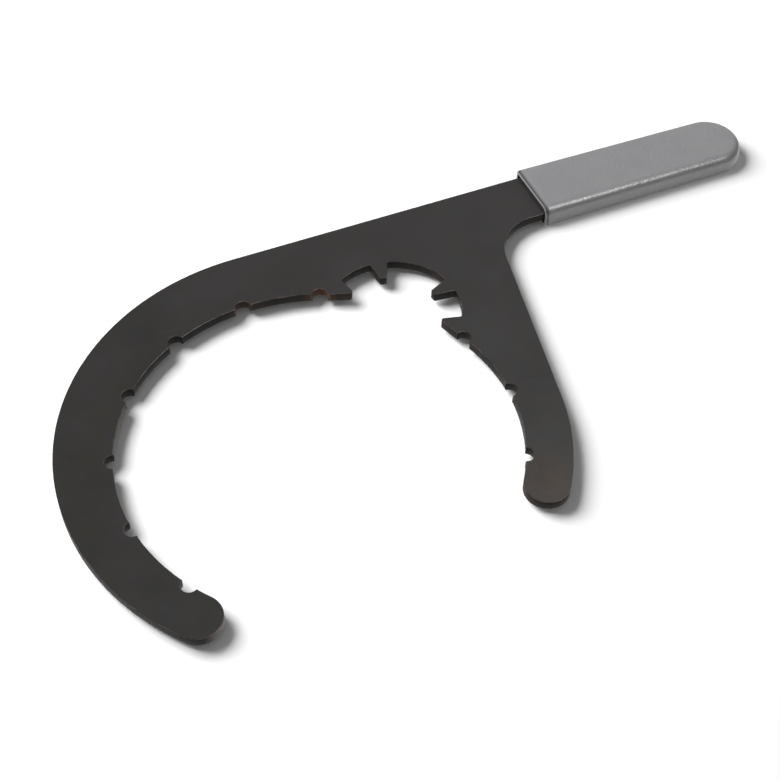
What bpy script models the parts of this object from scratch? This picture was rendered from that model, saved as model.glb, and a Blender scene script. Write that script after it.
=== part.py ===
"""Open-jaw collar wrench: a flat steel plate with a soft vinyl grip on its tang.

Frame: metres, +Z up. +X runs along the handle to the grip's end, the jaw opens
towards -Y, and the plate lies flat. The origin is the middle of the wrench's
outline, at the height of the grip's underside.

The plate's outline is drawn about the centre of the big jaw opening, in
millimetres, and moved to the wrench's frame when the solid is made.
"""
import math

import bmesh
import bpy
from mathutils import Vector

MM = 0.001
TINY = 1e-6                    # metres, for points that should coincide

# Plate
PLATE_THICKNESS = 4.0
JAW_RADIUS = 76.2              # the big round opening, 6 inches across
BACK_EDGE = 103.6              # straight back edge, above the jaw's centre
BACK_ARC_RADIUS = 98.7         # round outer side of the long arm
BACK_ARC_X = 2.1               # centre of that arc, along the handle
LONG_TIP_ANGLE = 219.4         # middle of the long arm's round tip
SHORT_ARC_RADIUS = 94.4        # round outer side of the short arm
SHORT_ARC_Y = 1.5              # centre of that arc, above the jaw's centre
SHORT_ARM_ANGLE = -10.9        # direction its straight outer side faces
SHORT_TIP_ANGLE = -36.3        # middle of the short arm's round tip
TANG_WIDTH = 25.0
TANG_FILLET = 21.3             # inside corner between tang and short arm

# Half-round notches in the jaw's rim
NOTCH_RADIUS = 3.15
NOTCH_PITCH = 24.0             # fifteen steps to the turn
NOTCHES_ON_LONG_ARM = 7
NOTCHES_ON_SHORT_ARM = 3
MOUTH_CORNER = 0.35

# Small toothed opening, on one of the notch places
CAP_ANGLE = 44.4
CAP_CENTRE = 73.5              # its centre, out from the jaw's centre
CAP_ROOT_RADIUS = 27.2
CAP_TIP_RADIUS = 18.2
CAP_TOOTH_ANGLE = 36.3         # each tooth's middle, either side of the axis
CAP_TOOTH_TIP = 2.8            # width of a tooth at its tip
CAP_FLANK_ANGLE = 15.0         # slope of a tooth's flank
CAP_END_ROOT = 75.6            # where the last gap ends, at the root circle
CAP_END_TIP = 83.7             # and at the tip circle
CAP_LAND_ANGLE = 20.6          # where the straight land leaves the jaw's rim
TOOTH_CORNER = 0.8
END_CORNER = 1.2

# Grip
GRIP_MOUTH = 135.2             # along the handle, from the jaw's centre
GRIP_END = 238.8
GRIP_WALL = 2.4
GRIP_TAPER = 0.9               # each side comes in this much by the round end
GRIP_EDGE = 2.2                # radius of the long edges
MOUTH_EDGE = 0.8               # radius of the mouth's outer edge
TANG_END = 235.2
SLIP = 0.3                     # gap between grip and tang

SAG = 0.02                     # how far a chord may cut inside its arc
EDGE_STEPS = 4
MOUTH_STEPS = 2
CUT_PAST = 10.0                # how far a cutter runs past what it cuts

GRIP_THICKNESS = PLATE_THICKNESS + 2 * GRIP_WALL
TANG_MIDDLE = BACK_EDGE - TANG_WIDTH / 2


def polar(radius, degrees, centre=(0.0, 0.0)):
    """The point at an angle on a circle."""
    angle = math.radians(degrees)
    return Vector((centre[0] + radius * math.cos(angle), centre[1] + radius * math.sin(angle)))


def angle_of(point, centre=(0.0, 0.0)):
    """The direction of a point from a centre, in degrees."""
    return math.degrees(math.atan2(point[1] - centre[1], point[0] - centre[0]))


def arc(centre, radius, start, end):
    """Points on an arc from start to end degrees, close enough to look round."""
    step = math.degrees(2 * math.acos(1 - SAG / radius))
    count = max(2, math.ceil(abs(end - start) / step))
    return [polar(radius, start + (end - start) * i / count, centre) for i in range(count + 1)]


def rounded(before, corner, after, radius):
    """The corner between two straight runs, as an arc tangent to both."""
    to_before = (before - corner).normalized()
    to_after = (after - corner).normalized()
    half = to_before.angle(to_after) / 2
    middle = corner + (to_before + to_after).normalized() * radius / math.sin(half)
    start = angle_of(corner + to_before * radius / math.tan(half), middle)
    end = angle_of(corner + to_after * radius / math.tan(half), middle)
    turn = (end - start + 180) % 360 - 180
    return arc(middle, radius, start, start + turn)


def tip_circle(angle, outer_centre, outer_radius):
    """Centre and radius of the round tip that touches the jaw's rim and an outer arc."""
    direction = polar(1.0, angle)
    offset = direction.dot(outer_centre)
    radius = outer_radius ** 2 - JAW_RADIUS ** 2 + 2 * JAW_RADIUS * offset
    radius = (radius - outer_centre.length_squared) / (2 * (JAW_RADIUS + outer_radius - offset))
    return direction * (JAW_RADIUS + radius), radius


def notch(angle):
    """One notch, from its far mouth corner to its near one, bulging outward."""
    half = math.degrees(2 * math.asin(NOTCH_RADIUS / (2 * JAW_RADIUS)))
    centre = polar(JAW_RADIUS, angle)
    far = polar(JAW_RADIUS, angle + half)
    near = polar(JAW_RADIUS, angle - half)
    swing = (angle_of(far, centre) - angle) % 360
    curve = arc(centre, NOTCH_RADIUS, angle + swing, angle - swing)
    rim_far = polar(JAW_RADIUS, angle + 2 * half)
    rim_near = polar(JAW_RADIUS, angle - 2 * half)
    points = rounded(rim_far, far, curve[1], MOUTH_CORNER)
    points += curve[1:-1]
    points += rounded(curve[-2], near, rim_near, MOUTH_CORNER)
    return points


def cap_half(side):
    """Half of the toothed opening, from the land's corner to the axis.

    side is 1 for the half towards the long arm and -1 for the other.
    """
    axis = polar(1.0, CAP_ANGLE)
    across = Vector((-axis.y, axis.x)) * side
    middle = axis * CAP_CENTRE

    def place(radius, degrees):
        point = polar(radius, degrees)
        return middle + axis * point.x + across * point.y

    def flank(way):
        """A tooth's flank: its tip corner, and where it meets the root circle."""
        out = polar(1.0, CAP_TOOTH_ANGLE)
        along = Vector((-out.y, out.x)) * way
        slope = math.radians(CAP_FLANK_ANGLE)
        run = out * math.cos(slope) + along * math.sin(slope)
        tip = out * CAP_TIP_RADIUS + along * CAP_TOOTH_TIP / 2
        reach = -tip.dot(run) + math.sqrt(tip.dot(run) ** 2 + CAP_ROOT_RADIUS ** 2 - tip.length_squared)
        return tip, tip + run * reach

    outer_tip, outer_root = flank(1)
    inner_tip, inner_root = flank(-1)
    outer_gap = arc((0, 0), CAP_ROOT_RADIUS, CAP_END_ROOT, angle_of(outer_root))
    centre_gap = arc((0, 0), CAP_ROOT_RADIUS, angle_of(inner_root), 0.0)
    rim = polar(JAW_RADIUS, CAP_LAND_ANGLE) - Vector((CAP_CENTRE, 0.0))
    land = polar(CAP_TIP_RADIUS, CAP_END_TIP)
    points = rounded(rim, land, outer_gap[0], END_CORNER)
    points += rounded(land, outer_gap[0], outer_gap[1], TOOTH_CORNER)
    points += outer_gap[1:-1]
    points += rounded(outer_gap[-2], outer_root, outer_tip, TOOTH_CORNER)
    points += rounded(outer_root, outer_tip, inner_tip, TOOTH_CORNER)
    points += rounded(outer_tip, inner_tip, inner_root, TOOTH_CORNER)
    points += rounded(inner_tip, inner_root, centre_gap[1], TOOTH_CORNER)
    points += centre_gap[1:]
    return [place(point.length, angle_of(point)) for point in points]


def plate_outline():
    """The plate's whole outline, about the jaw's centre."""
    back_centre = Vector((BACK_ARC_X, BACK_EDGE - BACK_ARC_RADIUS))
    short_centre = Vector((0.0, SHORT_ARC_Y))
    long_tip, long_radius = tip_circle(LONG_TIP_ANGLE, back_centre, BACK_ARC_RADIUS)
    short_tip, short_radius = tip_circle(SHORT_TIP_ANGLE, short_centre, SHORT_ARC_RADIUS)

    points = tang_outline(0.0)
    long_end = angle_of(long_tip, back_centre) % 360
    points += arc(back_centre, BACK_ARC_RADIUS, 90.0, long_end)
    points += arc(long_tip, long_radius, long_end, LONG_TIP_ANGLE + 180.0)

    for step in range(NOTCHES_ON_LONG_ARM, -NOTCHES_ON_SHORT_ARM - 1, -1):
        if step == 0:
            land = CAP_ANGLE + CAP_LAND_ANGLE
            points += arc((0, 0), JAW_RADIUS, angle_of(points[-1]) % 360, land)
            points += cap_half(1)
            points += reversed(cap_half(-1))
            points.append(polar(JAW_RADIUS, CAP_ANGLE - CAP_LAND_ANGLE))
            continue
        bite = notch(CAP_ANGLE + step * NOTCH_PITCH)
        start = angle_of(points[-1])
        end = start + (angle_of(bite[0]) - start + 180) % 360 - 180
        points += arc((0, 0), JAW_RADIUS, start, end)
        points += bite
    points += arc((0, 0), JAW_RADIUS, angle_of(points[-1]), SHORT_TIP_ANGLE)

    short_end = angle_of(short_tip, short_centre)
    points += arc(short_tip, short_radius, SHORT_TIP_ANGLE + 180.0, short_end + 360.0)
    points += arc(short_centre, SHORT_ARC_RADIUS, short_end, SHORT_ARM_ANGLE)

    facing = polar(1.0, SHORT_ARM_ANGLE)
    reach = facing.dot(short_centre) + SHORT_ARC_RADIUS + TANG_FILLET
    fillet_y = BACK_EDGE - TANG_WIDTH - TANG_FILLET
    fillet = Vector(((reach - facing.y * fillet_y) / facing.x, fillet_y))
    points += arc(fillet, TANG_FILLET, 180.0 + SHORT_ARM_ANGLE, 90.0)
    return points


def tang_outline(gap):
    """The tang's round end, from the jaw's side to the back edge, grown by a gap."""
    radius = TANG_WIDTH / 2 + gap
    return arc((TANG_END - TANG_WIDTH / 2, TANG_MIDDLE), radius, -90.0, 90.0)


def grip_outline():
    """The grip's outline seen from above: two tapering sides and a round end."""
    half = TANG_WIDTH / 2 + GRIP_WALL
    end_radius = half - GRIP_TAPER
    lean = math.degrees(math.atan(GRIP_TAPER / (GRIP_END - end_radius - GRIP_MOUTH)))
    middle = (GRIP_END - end_radius, TANG_MIDDLE)
    points = [Vector((GRIP_MOUTH, TANG_MIDDLE - half))]
    points += arc(middle, end_radius, -90.0 + lean, 90.0 - lean)
    points.append(Vector((GRIP_MOUTH, TANG_MIDDLE + half)))
    return points


def wrench_origin():
    """The middle of the wrench's box, in the outline's millimetres."""
    outline = plate_outline() + grip_outline()
    xs = [point.x for point in outline]
    ys = [point.y for point in outline]
    return Vector(((min(xs) + max(xs)) / 2, (min(ys) + max(ys)) / 2))


def new_collection(name):
    collection = bpy.data.collections.new(name)
    bpy.context.scene.collection.children.link(collection)
    return collection


def material(name, colour, roughness, metallic):
    """A Principled material."""
    made = bpy.data.materials.new(name)
    made.use_nodes = True
    shader = made.node_tree.nodes["Principled BSDF"]
    shader.inputs["Base Color"].default_value = (*colour, 1.0)
    shader.inputs["Roughness"].default_value = roughness
    shader.inputs["Metallic"].default_value = metallic
    return made


def slab(name, outline, bottom, top, collection):
    """A flat outline given thickness, as a closed mesh object.

    The outline is a filled 2D curve, extruded and made into a mesh.
    """
    origin = wrench_origin()
    curve = bpy.data.curves.new(name, "CURVE")
    curve.dimensions = "2D"
    curve.fill_mode = "BOTH"
    curve.extrude = (top - bottom) / 2 * MM
    spline = curve.splines.new("POLY")
    spline.points.add(len(outline) - 1)
    for knot, point in zip(spline.points, outline):
        place = (point - origin) * MM
        knot.co = (place.x, place.y, 0.0, 1.0)
    spline.use_cyclic_u = True
    drawn = bpy.data.objects.new(name, curve)
    bpy.context.scene.collection.objects.link(drawn)
    drawn.location.z = (top + bottom) / 2 * MM
    bpy.context.view_layer.update()

    evaluated = drawn.evaluated_get(bpy.context.evaluated_depsgraph_get())
    mesh = bpy.data.meshes.new_from_object(evaluated)
    mesh.name = name
    matrix = drawn.matrix_world.copy()
    bpy.data.objects.remove(drawn)
    bpy.data.curves.remove(curve)

    solid = bmesh.new()
    solid.from_mesh(mesh)
    bmesh.ops.remove_doubles(solid, verts=solid.verts, dist=TINY)
    bmesh.ops.recalc_face_normals(solid, faces=solid.faces)
    for facing in (1, -1):
        cap = [face for face in solid.faces if face.normal.z * facing > 0.9]
        bmesh.ops.dissolve_faces(solid, faces=cap)
    solid.to_mesh(mesh)
    solid.free()
    made = bpy.data.objects.new(name, mesh)
    made.matrix_world = matrix
    collection.objects.link(made)
    return made


def without_repeats(points):
    """The same outline with no point on top of the one before it."""
    kept = []
    for point in points:
        if not kept or (point - kept[-1]).length * MM > TINY:
            kept.append(point)
    if (kept[0] - kept[-1]).length * MM <= TINY:
        kept.pop()
    return kept


def make_plate(collection):
    """The one-piece steel plate: tang, two arms, notched jaw and toothed opening."""
    outline = without_repeats(plate_outline())
    plate = slab("wrench_plate", outline, GRIP_WALL, GRIP_WALL + PLATE_THICKNESS, collection)
    plate.data.materials.append(material("black_steel", (0.043, 0.041, 0.040), 0.42, 0.85))
    return plate


def make_grip(collection, cutters):
    """The vinyl grip: a rounded sleeve, open at the jaw's end, with the tang's shape inside."""
    grip = slab("vinyl_grip", grip_outline(), 0.0, GRIP_THICKNESS, collection)
    grip.data.materials.append(material("grey_vinyl", (0.25, 0.25, 0.255), 0.5, 0.0))
    round_edges(grip)

    cavity = [Vector((GRIP_MOUTH - CUT_PAST, TANG_MIDDLE - TANG_WIDTH / 2 - SLIP))]
    cavity += tang_outline(SLIP)
    cavity.append(Vector((GRIP_MOUTH - CUT_PAST, TANG_MIDDLE + TANG_WIDTH / 2 + SLIP)))
    floor = GRIP_WALL - SLIP
    cutter = slab("grip_cavity", cavity, floor, GRIP_THICKNESS - floor, cutters)
    cutter.hide_render = True
    cutter.display_type = "WIRE"
    cut = grip.modifiers.new("cavity", "BOOLEAN")
    cut.operation = "DIFFERENCE"
    cut.solver = "EXACT"
    cut.object = cutter
    return grip


def round_edges(grip):
    """Rounds the edges along the grip's sides and end, then the mouth's outer edge."""
    mesh = grip.data
    mouth = min(vertex.co.x for vertex in mesh.vertices)
    weights = mesh.attributes.new("bevel_weight_edge", "FLOAT", "EDGE")
    for edge in mesh.edges:
        ends = [mesh.vertices[index].co for index in edge.vertices]
        level = abs(ends[0].z - ends[1].z) < TINY
        at_mouth = all(end.x - mouth < TINY for end in ends)
        weights.data[edge.index].value = float(level and not at_mouth)

    sides = grip.modifiers.new("long_edges", "BEVEL")
    sides.limit_method = "WEIGHT"
    sides.use_clamp_overlap = False
    sides.width = GRIP_EDGE * MM
    sides.segments = EDGE_STEPS
    rim = grip.modifiers.new("mouth_edge", "BEVEL")
    rim.limit_method = "ANGLE"
    rim.angle_limit = math.radians(60)
    rim.use_clamp_overlap = False
    rim.width = MOUTH_EDGE * MM
    rim.segments = MOUTH_STEPS


def main():
    for thing in list(bpy.data.objects):
        bpy.data.objects.remove(thing)
    parts = new_collection("collar_wrench")
    cutters = new_collection("cutters")
    plate = make_plate(parts)
    grip = make_grip(parts, cutters)
    for piece in (plate, grip):
        piece.data.shade_smooth()
        piece.data.set_sharp_from_angle(angle=math.radians(30))


main()
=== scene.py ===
"""The collar wrench's looks: a black steel plate with cut walls, and a pebbled vinyl grip.

Every place is in the CAD frame, in metres. The jaw's centre is found from the plate's box,
and angles about it are in degrees from +X.
"""

import math

import bmesh
import bpy
from mathutils import Matrix, Vector, noise


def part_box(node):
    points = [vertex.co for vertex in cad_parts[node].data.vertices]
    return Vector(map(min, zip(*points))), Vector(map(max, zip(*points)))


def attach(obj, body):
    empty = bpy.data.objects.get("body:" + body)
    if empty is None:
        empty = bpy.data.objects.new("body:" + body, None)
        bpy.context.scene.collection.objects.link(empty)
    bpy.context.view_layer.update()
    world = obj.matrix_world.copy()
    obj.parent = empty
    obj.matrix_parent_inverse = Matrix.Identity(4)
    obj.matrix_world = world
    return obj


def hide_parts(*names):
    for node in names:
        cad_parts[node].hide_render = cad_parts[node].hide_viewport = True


MM = 0.001

# Plate, as it was drawn about the jaw's centre
JAW_RADIUS = 76.2 * MM
LEFT_EDGE = 96.6 * MM          # from the jaw's centre to the long arm's outer side
BACK_EDGE = 103.6 * MM         # and to the straight back edge
TANG_WIDTH = 25.0 * MM
CAP_ANGLE = 44.4               # the toothed opening's direction
NOTCH_PITCH = 24.0
SHORT_TIP_ANGLE = -36.3
LONG_TIP_ANGLE = 219.4
LONG_TIP_CENTRE = 87.4 * MM    # from the jaw's centre to the middle of the round tip
LONG_TIP_RADIUS = 11.2 * MM
RIM_RADIUS = 0.2 * MM          # the broken edge all round the plate's two faces
SHEEN_ALONG = 95 * MM         # along the handle from the jaw's centre, to the middle of the face's painted sheen
PAINTED_LIGHT_ANGLE = 152.0             # where the jaw's wall is painted lighter grey, a painted reflection of the bright floor
LONG_TIP_PAINTED_LIGHT_ANGLE = -20.0    # and the round tip's wall, about the tip's own middle

# Brown heat tint on the cut wall: (notches on from the toothed opening, strength)
HEAT_TINTS = [(1, 1.0), (2, 0.45), (0.6, 0.25)]

# Grip
NEAR_EDGE = 3.7 * MM           # radius of its upper edge on the jaw's side
FAR_EDGE = 1.2 * MM            # and on the back side
LOW_EDGE = 1.4 * MM            # radius of its lower edges
NEAR_IN = (1.0 * MM, 1.0 * MM)     # how far inside the CAD grip the near side lies, mouth and end
FAR_IN = (-0.3 * MM, 0.7 * MM)     # and the far side
GRIP_DROP = 0.5 * MM           # the top comes down this much by the round end
MOUTH_OUT = 0.5 * MM           # the mouth stands out this much past the CAD grip
GRIP_FIT = 0.1 * MM            # between the vinyl and the tang
GRIP_WAVE = 0.035 * MM         # unevenness of the moulded skin
GRIP_WAVE_LENGTH = 7 * MM
WAVE_START = 3 * MM            # it reaches its full size this far from the mouth
SIDE_STEPS = 56
END_STEPS = 48
EDGE_STEPS = 7
TOP_STEPS = 7
HOLLOW_STEPS = 12

# The rolled lip at the grip's mouth, in millimetres: (distance from it, how far the skin sits in)
LIP = [(0.0, 0.50), (0.05, 0.30), (0.15, 0.14), (0.30, 0.05), (0.48, 0.05), (0.62, 0.20), (0.76, 0.55),
       (0.92, 0.95), (1.08, 1.08), (1.24, 0.98), (1.44, 0.62), (1.66, 0.28), (1.95, 0.08), (2.40, 0.0)]

GROOVE = 1.1 * MM              # from the mouth to the bottom of the lip's groove
NEAR_LIP = 0.7                 # share of the lip's depth that is left on the near side

# The same where the mouth is only rounded off, on the far side
FAR_LIP = [(0.0, 1.0), (0.2, 0.62), (0.45, 0.34), (0.75, 0.15), (1.1, 0.04), (1.5, 0.0)]
FAR_LIP_SPREAD = 1.4           # above 1, it takes in more of the far side's upper edge

# The bell inside the mouth: (millimetres in, share of the way left to the tang's sides, to its faces)
BELL = [(0.0, 0.55, 0.15), (0.35, 0.10, 0.10), (0.9, 0.50, 0.50), (1.8, 0.70, 0.70), (3.0, 1.0, 1.0)]

# Camera
CAMERA_AZIMUTH = -24.43        # from -Y towards +X
CAMERA_ELEVATION = 49.28
CAMERA_ROLL = 1.18
CAMERA_DISTANCE = 543.4 * MM
CAMERA_TARGET = Vector((-36.73, -7.24, 4.4)) * MM
LENS = 65.34                   # millimetres, on a 36 mm sensor

# Studio
SKY_STRENGTH = 0.24
FLOOR_SIZE = 8.0
BOUNCE_HEIGHT = 0.3 * MM       # of the light that stands for the bright floor in reflections


def direction(azimuth, elevation):
    """Unit vector to a point seen from the origin; azimuth 0 is -Y and 90 is +X."""
    turn, rise = math.radians(azimuth), math.radians(elevation)
    return Vector((math.sin(turn) * math.cos(rise), -math.cos(turn) * math.cos(rise), math.sin(rise)))


def polar(centre, radius, degrees):
    """A point at an angle about a centre, in the plate's plane."""
    angle = math.radians(degrees)
    return centre + Vector((math.cos(angle), math.sin(angle), 0.0)) * radius


# ---------------------------------------------------------------- node helpers

class Shading:
    """One Principled material, with short calls for the nodes that feed it."""

    def __init__(self, name, roughness=0.5, metallic=0.0, specular=0.5):
        self.material = bpy.data.materials.new(name)
        self.material.use_nodes = True
        self.tree = self.material.node_tree
        self.shader = self.tree.nodes["Principled BSDF"]
        self.shader.inputs["Roughness"].default_value = roughness
        self.shader.inputs["Metallic"].default_value = metallic
        self.shader.inputs["Specular IOR Level"].default_value = specular
        self.place = self.tree.nodes.new("ShaderNodeTexCoord").outputs["Object"]
        self.bump_before = None

    def link(self, socket, value):
        """Feeds a socket with another socket, or sets it."""
        if isinstance(value, bpy.types.NodeSocket):
            self.tree.links.new(value, socket)
        else:
            socket.default_value = value

    def to(self, name, value):
        """Feeds or sets one of the shader's sockets."""
        self.link(self.shader.inputs[name], value)

    def stretched(self, scale):
        """The place, scaled differently along X, Y and Z."""
        node = self.tree.nodes.new("ShaderNodeMapping")
        self.link(node.inputs["Vector"], self.place)
        node.inputs["Scale"].default_value = scale
        return node.outputs["Vector"]

    def noise(self, size, detail=2.0, rough=0.5, where=None, offset=0.0):
        """Noise with features of about the given size, in metres."""
        node = self.tree.nodes.new("ShaderNodeTexNoise")
        node.noise_dimensions = "4D"
        self.link(node.inputs["Vector"], where or self.place)
        node.inputs["W"].default_value = offset
        node.inputs["Scale"].default_value = 1.0 / size
        node.inputs["Detail"].default_value = detail
        node.inputs["Roughness"].default_value = rough
        return node.outputs["Fac"]

    def cells(self, size):
        """Distance to the nearest of scattered points, for pebbles."""
        node = self.tree.nodes.new("ShaderNodeTexVoronoi")
        node.feature = "SMOOTH_F1"
        self.link(node.inputs["Vector"], self.place)
        node.inputs["Scale"].default_value = 1.0 / size
        node.inputs["Smoothness"].default_value = 0.6
        return node.outputs["Distance"]

    def spread(self, value, low, high, to_low=0.0, to_high=1.0):
        """A value mapped smoothly from one range to another, and held at its ends."""
        node = self.tree.nodes.new("ShaderNodeMapRange")
        node.interpolation_type = "SMOOTHSTEP"
        self.link(node.inputs["Value"], value)
        node.inputs["From Min"].default_value = low
        node.inputs["From Max"].default_value = high
        node.inputs["To Min"].default_value = to_low
        node.inputs["To Max"].default_value = to_high
        return node.outputs["Result"]

    def near(self, point, inner, outer):
        """1 within inner metres of a point, falling to 0 at outer."""
        node = self.tree.nodes.new("ShaderNodeVectorMath")
        node.operation = "DISTANCE"
        self.link(node.inputs[0], self.place)
        node.inputs[1].default_value = point
        return self.spread(node.outputs["Value"], inner, outer, 1.0, 0.0)

    def math(self, operation, first, second):
        """One arithmetic step; either value is a number or a socket."""
        node = self.tree.nodes.new("ShaderNodeMath")
        node.operation = operation
        self.link(node.inputs[0], first)
        self.link(node.inputs[1], second)
        return node.outputs["Value"]

    def mix(self, factor, first, second, blend="MIX"):
        """Two colours mixed by a factor; a colour is three numbers or a socket."""
        node = self.tree.nodes.new("ShaderNodeMix")
        node.data_type = "RGBA"
        node.blend_type = blend
        self.link(node.inputs[0], factor)
        for socket, colour in ((node.inputs[6], first), (node.inputs[7], second)):
            self.link(socket, colour if isinstance(colour, bpy.types.NodeSocket) else (*colour, 1.0))
        return node.outputs[2]

    def bump(self, height, depth, strength=1.0):
        """Adds a bump of the given depth in metres on top of the earlier ones."""
        node = self.tree.nodes.new("ShaderNodeBump")
        node.inputs["Strength"].default_value = strength
        node.inputs["Distance"].default_value = depth
        self.link(node.inputs["Height"], height)
        if self.bump_before is not None:
            self.link(node.inputs["Normal"], self.bump_before)
        self.bump_before = node.outputs["Normal"]
        self.link(self.shader.inputs["Normal"], self.bump_before)


# ------------------------------------------------------------------- materials

def steel_face(jaw):
    """Black oxide on rolled plate: clouded and streaked, browner at the short tip, and paler by the handle as
    a painted sheen.
    """
    look = Shading("black_steel_face", specular=0.45)
    clouds = look.noise(28 * MM, 3.0, 0.55)
    patches = look.noise(7 * MM, 3.0, 0.6, offset=3.0)
    sheen_centre = jaw + Vector((SHEEN_ALONG, BACK_EDGE, 0.0))
    streaks = look.noise(1.0, 3.0, 0.6, look.stretched((60.0, 900.0, 60.0)))
    grain = look.noise(0.7 * MM, 2.0, 0.6)
    colour = look.mix(look.spread(clouds, 0.3, 0.7), (0.0150, 0.0142, 0.0134), (0.0206, 0.0186, 0.0198))
    colour = look.mix(look.spread(patches, 0.35, 0.65, 0.0, 0.75), colour, (0.0176, 0.0172, 0.0132))
    # Painted sheen: the face is made paler around a point by the handle, where the light's sheen falls.
    painted_sheen = look.math("MULTIPLY", look.near(sheen_centre, 30 * MM, 170 * MM), 0.5)
    colour = look.mix(painted_sheen, colour, (0.030, 0.0272, 0.0280))
    colour = look.mix(look.spread(streaks, 0.4, 0.7, 0.0, 0.2), colour, (0.0260, 0.0253, 0.0246))
    colour = look.mix(look.spread(grain, 0.35, 0.75, 0.0, 0.25), colour, (0.0130, 0.0128, 0.0126))
    tip = polar(jaw, JAW_RADIUS + 9 * MM, SHORT_TIP_ANGLE)
    brown = look.math("MULTIPLY", look.near(tip, 4 * MM, 22 * MM), look.spread(patches, 0.3, 0.7, 0.45, 0.95))
    colour = look.mix(brown, colour, (0.0375, 0.0272, 0.0203))
    look.to("Base Color", colour)
    look.to("Roughness", look.spread(clouds, 0.25, 0.75, 0.44, 0.56))
    look.bump(grain, 0.02 * MM, 0.4)
    look.bump(streaks, 0.01 * MM, 0.5)
    return look.material


def long_tip_side(jaw):
    """The side of the long arm's round tip that faces the jaw's mouth."""
    return polar(polar(jaw, LONG_TIP_CENTRE, LONG_TIP_ANGLE), LONG_TIP_RADIUS, LONG_TIP_PAINTED_LIGHT_ANGLE)


def steel_wall(jaw):
    """The cut wall: upright striations, dark scale, brown heat tint, and lighter grey in places as a painted
    reflection.
    """
    look = Shading("black_steel_wall", roughness=0.65, specular=0.1)
    upright = look.stretched((1.0, 1.0, 0.06))
    lines = look.noise(0.45 * MM, 2.0, 0.6, upright)
    bands = look.noise(9 * MM, 2.0, 0.5, upright)
    colour = look.mix(look.spread(lines, 0.3, 0.7), (0.0035, 0.0034, 0.0031), (0.0085, 0.0081, 0.0074))
    tint = look.spread(bands, 0.42, 0.72, 0.0, 0.25)
    for step, share in HEAT_TINTS:
        spot = polar(jaw, JAW_RADIUS + 1.5 * MM, CAP_ANGLE + step * NOTCH_PITCH)
        tint = look.math("MAXIMUM", tint, look.math("MULTIPLY", look.near(spot, 2.5 * MM, 9 * MM), share))
    colour = look.mix(tint, colour, (0.050, 0.024, 0.012))
    # Painted reflection: lighter grey on the jaw's left inner wall and the long tip's side, where these walls
    # would mirror the bright floor.
    painted_reflection = look.math("MULTIPLY", look.near(polar(jaw, JAW_RADIUS, PAINTED_LIGHT_ANGLE), 7 * MM, 15 * MM), 0.5)
    painted_reflection = look.math("MAXIMUM", painted_reflection, look.near(long_tip_side(jaw), 4 * MM, 11 * MM))
    colour = look.mix(look.math("MULTIPLY", painted_reflection, 0.8), colour, (0.20, 0.18, 0.17))
    look.to("Base Color", colour)
    look.bump(lines, 0.05 * MM, 0.7)
    return look.material


def steel_rim():
    """The broken edge, where the black has rubbed through to a duller brown grey, its lighter tone also a
    painted highlight along the edge.
    """
    look = Shading("black_steel_rim", roughness=0.45, metallic=0.5)
    wear_and_sheen = look.noise(6 * MM, 3.0, 0.6)
    # The lighter grey is partly rubbed-through wear and partly a painted highlight along the edge.
    look.to("Base Color", look.mix(look.spread(wear_and_sheen, 0.35, 0.7), (0.02, 0.018, 0.017), (0.10, 0.075, 0.066)))
    return look.material


def vinyl_inside():
    """The sleeve's inside, painted dark as the shade within the hollow."""
    look = Shading("grey_vinyl_inside_painted_shade", roughness=0.6, specular=0.3)
    look.to("Base Color", look.mix(look.noise(1.5 * MM), (0.010, 0.010, 0.010), (0.018, 0.018, 0.018)))
    return look.material


def vinyl(mouth):
    """Soft grey vinyl, pebbled, with painted shade in the lip's groove and by the mouth, and a painted
    highlight round its foot.
    """
    look = Shading("grey_vinyl_skin")
    pebbles = look.cells(1.05 * MM)
    fine = look.noise(0.5 * MM, 2.0, 0.6)
    clouds = look.noise(18 * MM, 2.0, 0.5)
    colour = look.mix(look.spread(clouds, 0.3, 0.7), (0.195, 0.195, 0.200), (0.210, 0.210, 0.215))
    colour = look.mix(look.spread(fine, 0.35, 0.75, 0.0, 0.15), colour, (0.155, 0.155, 0.16))
    place = look.tree.nodes.new("ShaderNodeSeparateXYZ")
    look.link(place.inputs["Vector"], look.place)
    past_groove = look.math("SUBTRACT", place.outputs["X"], mouth + GROOVE)
    # Painted shade: darker in the lip's groove, on its shoulder and near the mouth.
    lip_side = look.spread(past_groove, -0.45 * MM, -0.10 * MM)
    painted_shade = look.math("MULTIPLY", lip_side, look.spread(past_groove, 0.20 * MM, 1.40 * MM, 0.75, 0.0))
    painted_shade = look.math("MAXIMUM", painted_shade, look.spread(past_groove, 0.0, 2 * MM, 0.2, 0.0))
    colour = look.mix(painted_shade, colour, (0.045, 0.045, 0.046))
    # Painted highlight: a pale line round the grip's foot, stronger towards the round end.
    painted_foot_highlight = look.spread(place.outputs["Z"], 0.85 * MM, 1.55 * MM, 1.0, 0.0)
    toward_end = look.spread(place.outputs["X"], mouth, mouth + 100 * MM, 0.65, 1.0)
    colour = look.mix(look.math("MULTIPLY", painted_foot_highlight, toward_end), colour, (0.62, 0.62, 0.65))
    look.to("Base Color", colour)
    look.to("Roughness", look.spread(fine, 0.3, 0.7, 0.34, 0.46))
    look.bump(pebbles, 0.16 * MM, 0.6)
    look.bump(fine, 0.04 * MM, 0.4)
    return look.material


# ---------------------------------------------------------------------- pieces

def add_piece(name, mesh, slot, *nodes):
    """A piece of the wrench: it rides on the root and stands for CAD nodes."""
    piece = bpy.data.objects.new(name, mesh)
    bpy.context.scene.collection.objects.link(piece)
    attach(piece, "root")
    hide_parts(*nodes)
    return piece


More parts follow.
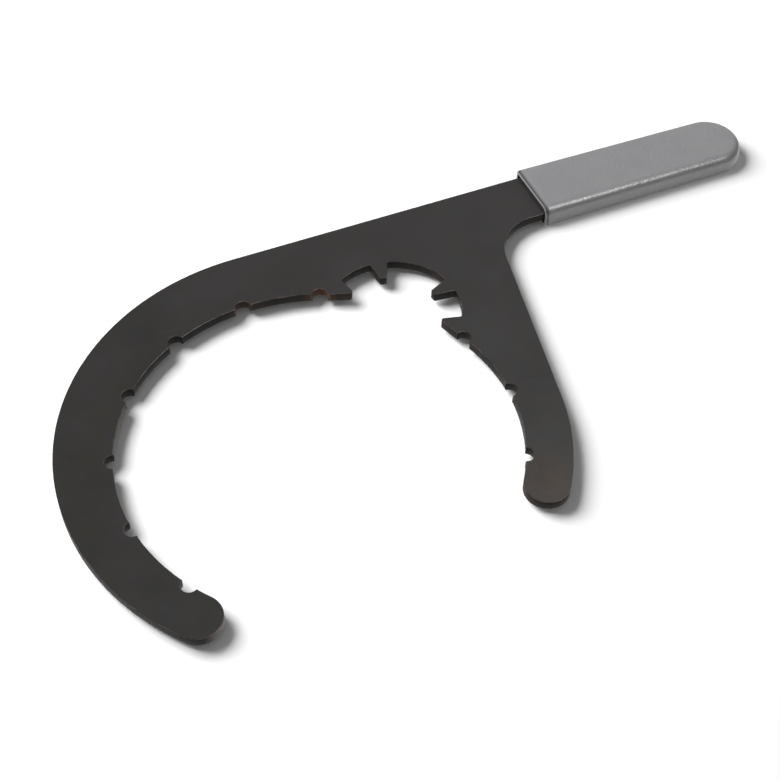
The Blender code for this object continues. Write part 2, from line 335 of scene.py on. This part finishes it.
def make_plate(frame, jaw):
    """The CAD plate's own shape with whole faces, and its two rims broken."""
    solid = bmesh.new()
    solid.from_mesh(frame["nodes"]["wrench_plate"].data)
    bmesh.ops.remove_doubles(solid, verts=solid.verts, dist=0.001 * MM)
    bmesh.ops.dissolve_limit(solid, angle_limit=math.radians(0.1), verts=solid.verts, edges=solid.edges)
    for face in solid.faces:
        flat = abs(face.normal.z) > 0.5
        face.material_index = 0 if flat else 1
        face.smooth = not flat
    mesh = bpy.data.meshes.new("steel_plate")
    solid.to_mesh(mesh)
    solid.free()
    for material in (steel_face(jaw), steel_wall(jaw), steel_rim()):
        mesh.materials.append(material)

    plate = add_piece("steel_plate", mesh, "black_steel", "wrench_plate")
    rim = plate.modifiers.new("rim", "BEVEL")
    rim.limit_method = "ANGLE"
    rim.angle_limit = math.radians(60)
    rim.width = RIM_RADIUS
    rim.segments = 2
    rim.use_clamp_overlap = False
    rim.material = 2
    rim.harden_normals = True
    return plate


def smooth(value):
    """0 to 1 with gentle ends, held outside them."""
    value = min(max(value, 0.0), 1.0)
    return value * value * (3 - 2 * value)


def grip_stations(low, high):
    """The grip's plan, from the near side of its mouth round to the far side.

    Each station is a point, the way inward, the distance in to the middle line,
    the distance from the mouth, and the radius of the upper edge there.
    """
    near_mouth, near_end = (low.y + inset for inset in NEAR_IN)
    far_mouth, far_end = (high.y - inset for inset in FAR_IN)
    end_radius = (far_end - near_end) / 2
    arc_centre = Vector((high.x - end_radius, (far_end + near_end) / 2))
    run = arc_centre.x - low.x
    steps = [distance * MM for distance, _ in LIP]
    plain = SIDE_STEPS - len(LIP)
    steps += [steps[-1] + (run - steps[-1]) * i / plain for i in range(1, plain)]

    near, far = [], []
    for distance in steps:
        share = distance / run
        start = near_mouth + (near_end - near_mouth) * share
        end = far_mouth + (far_end - far_mouth) * share
        width = (end - start) / 2
        along = low.x + distance
        near.append((Vector((along, start)), Vector((0.0, 1.0)), width, distance, NEAR_EDGE))
        far.append((Vector((along, end)), Vector((0.0, -1.0)), width, distance, FAR_EDGE))
    stations = list(near)
    for i in range(END_STEPS + 1):
        angle = math.pi * (i / END_STEPS - 0.5)
        out = Vector((math.cos(angle), math.sin(angle)))
        edge = NEAR_EDGE + (FAR_EDGE - NEAR_EDGE) * smooth((out.y + 1) / 2)
        stations.append((arc_centre + out * end_radius, -out, end_radius, run + out.x * end_radius, edge))
    return stations + far[::-1]


def grip_profile(width, height, upper_edge):
    """The skin from the underside's middle line, round the side, to the top's middle line.

    Each point is the distance in from the side, the height, and the outward normal in
    those two directions.
    """
    points = []
    for edge, base, way in ((LOW_EDGE, 0.0, 1), (upper_edge, height, -1)):
        half = [(width + (edge - width) * i / TOP_STEPS, base, 0.0, -way) for i in range(TOP_STEPS)]
        for i in range(EDGE_STEPS + 1):
            turn = math.pi / 2 * i / EDGE_STEPS
            out, up = math.sin(turn), math.cos(turn)
            half.append((edge * (1 - out), base + way * edge * (1 - up), -out, -way * up))
        points += half if way == 1 else reversed(half)
    return points


def lip_depth(profile, distance):
    """How far in the skin sits at a distance from the mouth, by one of the lip's profiles."""
    for (start, first), (end, second) in zip(profile, profile[1:]):
        if distance <= end * MM:
            share = (distance / MM - start) / (end - start)
            return (first + (second - first) * share) * MM
    return 0.0


def grip_skin(solid, low, high):
    """The grip's outside, as a grid of stations round the plan by points round the side."""
    columns = []
    length = high.x - low.x
    for point, inward, width, distance, edge in grip_stations(low, high):
        height = high.z - low.z - GRIP_DROP * distance / length
        column = []
        for across, rise, out, up in grip_profile(width, height, edge):
            place = Vector((*(point + inward * across), low.z + rise))
            normal = Vector((*(inward * out), up))
            underside = up <= -0.5
            bulge = 0.0 if underside else noise.noise(place / GRIP_WAVE_LENGTH) * GRIP_WAVE
            fade = min(1.0, distance / WAVE_START)
            rolled = lip_depth(LIP, distance) * (1.0 - (1.0 - NEAR_LIP) * smooth(-normal.y))
            far = smooth(FAR_LIP_SPREAD * normal.y)
            inset = rolled + (lip_depth(FAR_LIP, distance) - rolled) * far
            place += normal * (bulge * fade - inset)
            column.append(solid.verts.new(place))
        columns.append(column)
    for first, second in zip(columns, columns[1:]):
        for a, b, c, d in zip(first, second, second[1:], first[1:]):
            solid.faces.new((a, b, c, d))


def hollow_rings(mouth, end, half):
    """Where the hollow's rings go: (place along the grip, half-width, and the two shares)."""
    rings = [(mouth + distance * MM, half, side, face) for distance, side, face in BELL]
    for i in range(HOLLOW_STEPS):
        turn = math.pi / 2 * i / HOLLOW_STEPS
        rings.append((end - half + half * math.sin(turn), half * math.cos(turn), 1.0, 1.0))
    return rings


def grip_hollow(solid, low, tang_low, tang_high, middle):
    """The mouth's rim and bell, and the hollow that holds the tang, from the open edge inward."""
    edges = [edge for edge in solid.edges if edge.is_boundary]
    floor, roof = tang_low.z - GRIP_FIT, tang_high.z + GRIP_FIT
    for along, half, side, face in hollow_rings(low.x, tang_high.x + GRIP_FIT, TANG_WIDTH / 2 + GRIP_FIT):
        made = bmesh.ops.extrude_edge_only(solid, edges=edges)["geom"]
        for item in made:
            # Faces inside the mouth take material 1, the inside painted dark as shade.
            if isinstance(item, bmesh.types.BMFace) and along > low.x:
                item.material_index = 1
        edges = [item for item in made if isinstance(item, bmesh.types.BMEdge)]
        for vertex in {vertex for edge in edges for vertex in edge.verts}:
            across = min(max(vertex.co.y, middle - half), middle + half)
            level = min(max(vertex.co.z, floor), roof)
            vertex.co.x = along
            vertex.co.y += (across - vertex.co.y) * side
            vertex.co.z += (level - vertex.co.z) * face
    bmesh.ops.contextual_create(solid, geom=edges)


def make_grip(jaw):
    """The vinyl grip: skin, rolled lip, end face and hollow, as one closed mesh."""
    low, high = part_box("vinyl_grip")
    low = low - Vector((MOUTH_OUT, 0.0, 0.0))
    tang_low, tang_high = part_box("wrench_plate")
    solid = bmesh.new()
    grip_skin(solid, low, high)
    bmesh.ops.remove_doubles(solid, verts=solid.verts, dist=0.002 * MM)
    grip_hollow(solid, low, tang_low, tang_high, jaw.y + BACK_EDGE - TANG_WIDTH / 2)
    bmesh.ops.remove_doubles(solid, verts=solid.verts, dist=0.002 * MM)
    bmesh.ops.recalc_face_normals(solid, faces=solid.faces)
    mesh = bpy.data.meshes.new("vinyl_sleeve")
    solid.to_mesh(mesh)
    solid.free()
    mesh.materials.append(vinyl(low.x))
    # the hollow's material, painted dark as shade
    mesh.materials.append(vinyl_inside())
    mesh.shade_smooth()
    mesh.set_sharp_from_angle(angle=math.radians(50))
    return add_piece("vinyl_sleeve", mesh, "grey_vinyl", "vinyl_grip")


# ----------------------------------------------------------------------- stage

def make_floor():
    """A plain floor, close to white."""
    bpy.ops.mesh.primitive_plane_add(size=FLOOR_SIZE)
    floor = bpy.context.active_object
    floor.name = "floor"
    look = Shading("floor_white", roughness=0.9, specular=0.1)
    look.to("Base Color", look.mix(look.noise(0.2), (0.84, 0.84, 0.84), (0.86, 0.86, 0.86)))
    floor.data.materials.append(look.material)


def make_light(name, azimuth, elevation, distance, size, power, diffuse=True, glossy=True):
    """A square soft light that faces the wrench."""
    lamp = bpy.data.lights.new(name, "AREA")
    lamp.size = size
    lamp.energy = power
    light = bpy.data.objects.new(name, lamp)
    bpy.context.scene.collection.objects.link(light)
    away = direction(azimuth, elevation)
    light.location = away * distance
    light.rotation_euler = away.to_track_quat("Z", "Y").to_euler()
    light.visible_diffuse = diffuse
    light.visible_glossy = glossy
    light.visible_camera = False
    return light


def make_lights():
    """A pale sky, one soft key light, and three lights that only reflections show."""
    world = bpy.data.worlds.new("studio")
    world.use_nodes = True
    world.node_tree.nodes["Background"].inputs["Color"].default_value = (1.0, 1.0, 1.0, 1.0)
    world.node_tree.nodes["Background"].inputs["Strength"].default_value = SKY_STRENGTH
    bpy.context.scene.world = world
    make_light("key", azimuth=222, elevation=41, distance=1.6, size=1.1, power=51, glossy=False)
    make_light("ridge", azimuth=54, elevation=58, distance=0.6, size=0.24, power=4.9, diffuse=False)
    make_light("side", azimuth=130, elevation=12, distance=1.2, size=0.5, power=0.5, diffuse=False)

    bounce = make_light("bounce", azimuth=0, elevation=90, distance=BOUNCE_HEIGHT, size=1.0, power=3.0,
                        diffuse=False)
    bounce.rotation_euler = (math.pi, 0.0, 0.0)     # it faces up


def make_camera():
    """The photograph's camera, looking down on the wrench."""
    toward = direction(CAMERA_AZIMUTH, CAMERA_ELEVATION)
    level = Vector((math.cos(math.radians(CAMERA_AZIMUTH)), math.sin(math.radians(CAMERA_AZIMUTH)), 0.0))
    turn = Matrix.Rotation(math.radians(CAMERA_ROLL), 3, toward)
    right = turn @ level
    up = toward.cross(right)
    camera = bpy.data.objects.new("camera", bpy.data.cameras.new("camera"))
    camera.data.lens = LENS
    camera.data.clip_start = 0.01
    bpy.context.scene.collection.objects.link(camera)
    pose = Matrix((right, up, toward)).transposed().to_4x4()
    pose.translation = CAMERA_TARGET + toward * CAMERA_DISTANCE
    camera.matrix_world = pose
    bpy.context.scene.camera = camera


def jaw_centre():
    """The big jaw's centre, at the plate's mid-height."""
    low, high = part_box("wrench_plate")
    return Vector((low.x + LEFT_EDGE, high.y - BACK_EDGE, (low.z + high.z) / 2))


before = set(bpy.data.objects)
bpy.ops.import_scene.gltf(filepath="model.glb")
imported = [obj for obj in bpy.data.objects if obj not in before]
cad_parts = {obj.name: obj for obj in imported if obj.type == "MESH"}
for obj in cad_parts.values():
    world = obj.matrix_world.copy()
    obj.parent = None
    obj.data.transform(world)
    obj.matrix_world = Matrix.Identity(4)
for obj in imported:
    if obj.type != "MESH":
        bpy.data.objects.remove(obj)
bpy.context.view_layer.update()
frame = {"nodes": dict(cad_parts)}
jaw = jaw_centre()
make_camera()
make_lights()
make_floor()
make_plate(frame, jaw)
make_grip(jaw)
bpy.context.scene.view_settings.view_transform = "Standard"
